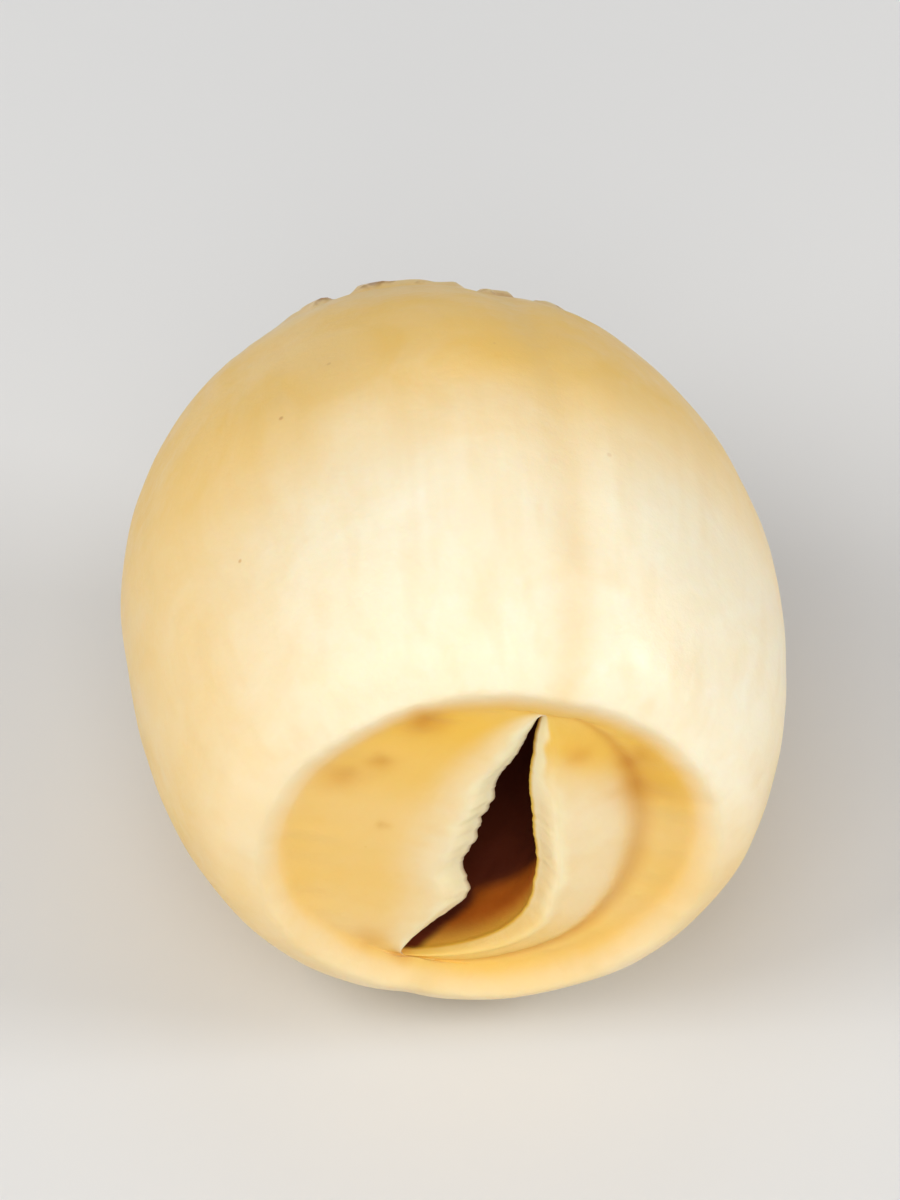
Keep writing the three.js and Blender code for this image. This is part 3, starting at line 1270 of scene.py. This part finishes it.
@dataclass
class LotusSeed:
    """The seed: one closed piece of flesh, with its hollow.

    Attributes:
        sizes: Its driving dimensions.
        columns: How many points each ring has.
        node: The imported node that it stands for.
        finish: The finish of its flesh.
    """

    sizes: SeedSizes = field(default_factory=SeedSizes)
    columns: int = 360
    node: str = "seed"
    finish: FleshFinish = field(default_factory=FleshFinish)

    def turn_rings(self, mesh: bmesh.types.BMesh, rings: list[Ring]) -> bmesh.types.BMLayerItem:
        """Turns the closed meridian round the axis.

        Args:
            mesh: The empty mesh to work in.
            rings: The meridian's rings.

        Returns:
            The layer that holds the number of each vertex's ring.
        """
        numbers = mesh.verts.layers.int.new("ring")
        # A millimetre more keeps every ring clear of the axis. The outline gives each its own radius later.
        line = [mesh.verts.new((0, ring.along, ring.radius + 1)) for ring in rings]
        for number, vertex in enumerate(line):
            vertex[numbers] = number
        edges = [mesh.edges.new((a, b)) for a, b in zip(line, line[1:] + line[:1])]
        bmesh.ops.spin(
            mesh,
            geom=line + edges,
            cent=(0, 0, 0),
            axis=(0, 1, 0),
            angle=2 * math.pi,
            steps=self.columns,
            use_merge=True,
        )
        return numbers

    def build(self) -> bpy.types.Object:
        """Builds the seed's mesh in the row frame, with its stains.

        Returns:
            The seed's object.
        """
        outline = Outline(self.sizes)
        relief = DriedRelief(self.sizes)
        stains = StainMap(outline, relief)
        rings = Meridian(self.sizes).rings()
        mesh = bmesh.new()
        layers = {stain: mesh.verts.layers.float.new(stain.value) for stain in Stain}
        numbers = self.turn_rings(mesh, rings)
        spots = [(v, rings[v[numbers]], math.atan2(v.co.x, v.co.z)) for v in mesh.verts]
        for vertex, ring, angle in spots:
            vertex.co = outline.skin_point(ring, angle)
        bmesh.ops.recalc_face_normals(mesh, faces=mesh.faces)
        mesh.normal_update()
        for vertex, ring, angle in spots:
            plain = vertex.co.copy()
            for stain, share in stains.masks(ring, angle, plain).items():
                vertex[layers[stain]] = share
            vertex.co = plain + vertex.normal * relief.height(ring, angle, plain)
            vertex.co.z = max(vertex.co.z, -self.sizes.rest_depth)
        mesh.verts.layers.int.remove(numbers)
        self.place(mesh)
        data = bpy.data.meshes.new("lotus_seed")
        mesh.to_mesh(data)
        mesh.free()
        data.shade_smooth()
        piece = bpy.data.objects.new("lotus_seed", data)
        bpy.context.scene.collection.objects.link(piece)
        return piece

    def place(self, mesh: bmesh.types.BMesh) -> None:
        """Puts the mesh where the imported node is, in metres.

        Args:
            mesh: The seed in its own frame, in millimetres.
        """
        low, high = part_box(self.node)
        bmesh.ops.scale(mesh, vec=(MM, MM, MM), verts=mesh.verts)
        middle = (min(v.co.x for v in mesh.verts) + max(v.co.x for v in mesh.verts)) / 2
        aside = (low[0] + high[0]) / 2 - middle
        ahead = low[1] + self.sizes.rim_ahead * MM
        bmesh.ops.translate(mesh, vec=(aside, ahead, self.sizes.rest_depth * MM), verts=mesh.verts)

    def dress(self, piece: bpy.types.Object) -> None:
        """Gives the seed its finish, puts it under the root body and hides the imported node that it stands
        for.

        Args:
            piece: The seed's object.
        """
        piece.data.materials.append(self.finish.material())
        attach(piece, "root")
        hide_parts(self.node)


@dataclass(frozen=True)
class SoftLight:
    """A square soft light.

    Attributes:
        name: Its name.
        azimuth: Where it stands round the seed, in degrees; 0 is towards -Y and 90 towards +X.
        elevation: How high it stands, in degrees.
        distance: How far off it is, in metres.
        side: The length of its side, in metres.
        power: Its power in watts.
        colour: Its colour.
    """

    name: str
    azimuth: float
    elevation: float
    distance: float
    side: float
    power: float
    colour: tuple[float, float, float]


def outward(azimuth: float, elevation: float) -> Vector:
    """Gives the direction from the seed to a place round it.

    Args:
        azimuth: In degrees; 0 is towards -Y and 90 towards +X.
        elevation: In degrees above the floor.

    Returns:
        The unit direction.
    """
    turn, rise = math.radians(azimuth), math.radians(elevation)
    return Vector((math.sin(turn) * math.cos(rise), -math.cos(turn) * math.cos(rise), math.sin(rise)))


@dataclass
class Studio:
    """A pale floor, soft lights and the camera.

    Attributes:
        azimuth: Where the camera stands round the seed, in degrees.
        elevation: How high it stands, in degrees.
        lens: Its focal length, in millimetres.
        frame_height: Height of what it sees at the seed, in metres.
        floor_radius: Radius of the floor, in metres.
        floor_colour: The floor's colour.
        ambient: Strength of the light from all round.
        lights: The soft lights.
    """

    azimuth: float = -4.4
    elevation: float = 47.0
    lens: float = 600.0
    frame_height: float = 0.0235
    floor_radius: float = 0.6
    floor_colour: Colour = srgb(222, 223, 225)
    ambient: float = 0.42
    lights: tuple[SoftLight, ...] = (
        SoftLight("key_light", -12, 52, 0.32, 0.17, 0.26, (1.0, 0.975, 0.94)),
        SoftLight("front_light", -4, 16, 0.34, 0.2, 0.18, (1.0, 0.975, 0.93)),
        SoftLight("right_light", 78, 27, 0.34, 0.13, 0.45, (1.0, 0.985, 0.95)),
        SoftLight("left_light", -72, 44, 0.34, 0.2, 0.5, (1.0, 0.97, 0.9)),
        SoftLight("back_light", 175, 55, 0.36, 0.16, 0.06, (1.0, 0.96, 0.9)),
    )

    def floor(self) -> None:
        """Makes the floor under the seed, which isn't part of it."""
        mesh = bmesh.new()
        bmesh.ops.create_circle(mesh, cap_ends=True, segments=96, radius=self.floor_radius)
        data = bpy.data.meshes.new("floor")
        mesh.to_mesh(data)
        mesh.free()
        floor = bpy.data.objects.new("floor", data)
        bpy.context.scene.collection.objects.link(floor)
        bench = NodeBench("floor_paint")
        bench.shader.inputs["Base Color"].default_value = self.floor_colour
        bench.shader.inputs["Roughness"].default_value = 0.75
        data.materials.append(bench.material)
        floor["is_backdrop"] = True

    def light(self, aim: Vector) -> None:
        """Sets up the soft lights and the light from all round.

        Args:
            aim: The point that the lights look at.
        """
        scene = bpy.context.scene
        for soft in self.lights:
            data = bpy.data.lights.new(soft.name, "AREA")
            data.size = soft.side
            data.energy = soft.power
            data.color = soft.colour
            lamp = bpy.data.objects.new(soft.name, data)
            away = outward(soft.azimuth, soft.elevation)
            lamp.location = aim + away * soft.distance
            lamp.rotation_euler = (-away).to_track_quat("-Z", "Y").to_euler()
            scene.collection.objects.link(lamp)
        world = bpy.data.worlds.new("soft_room")
        world.use_nodes = True
        sky = world.node_tree.nodes["Background"]
        sky.inputs["Color"].default_value = self.floor_colour
        sky.inputs["Strength"].default_value = self.ambient
        scene.world = world
        scene.view_settings.view_transform = "Standard"

    def camera(self, aim: Vector) -> None:
        """Sets up the camera at the viewing angle.

        Args:
            aim: The point in the middle of the picture.
        """
        data = bpy.data.cameras.new("camera")
        data.lens = self.lens
        camera = bpy.data.objects.new("camera", data)
        away = outward(self.azimuth, self.elevation)
        distance = self.frame_height / data.sensor_width * self.lens
        camera.location = aim + away * distance
        camera.rotation_euler = (-away).to_track_quat("-Z", "Y").to_euler()
        data.clip_start = 0.1 * distance
        data.clip_end = 20 * distance
        bpy.context.scene.collection.objects.link(camera)
        bpy.context.scene.camera = camera


def main() -> None:
    """Builds and dresses the seed, then sets up the studio round it."""
    logging.basicConfig(level=logging.INFO, format="%(name)s: %(message)s")
    seed = LotusSeed()
    piece = seed.build()
    seed.dress(piece)
    log.info("%s: %d vertices, %d faces", piece.name, len(piece.data.vertices), len(piece.data.polygons))
    low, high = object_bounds()
    studio = Studio()
    studio.floor()
    studio.light((low + high) / 2)
    studio.camera((low + high) / 2)
    log.info("studio: floor, %d lights and camera", len(studio.lights))


if __name__ == "__main__":
    main()
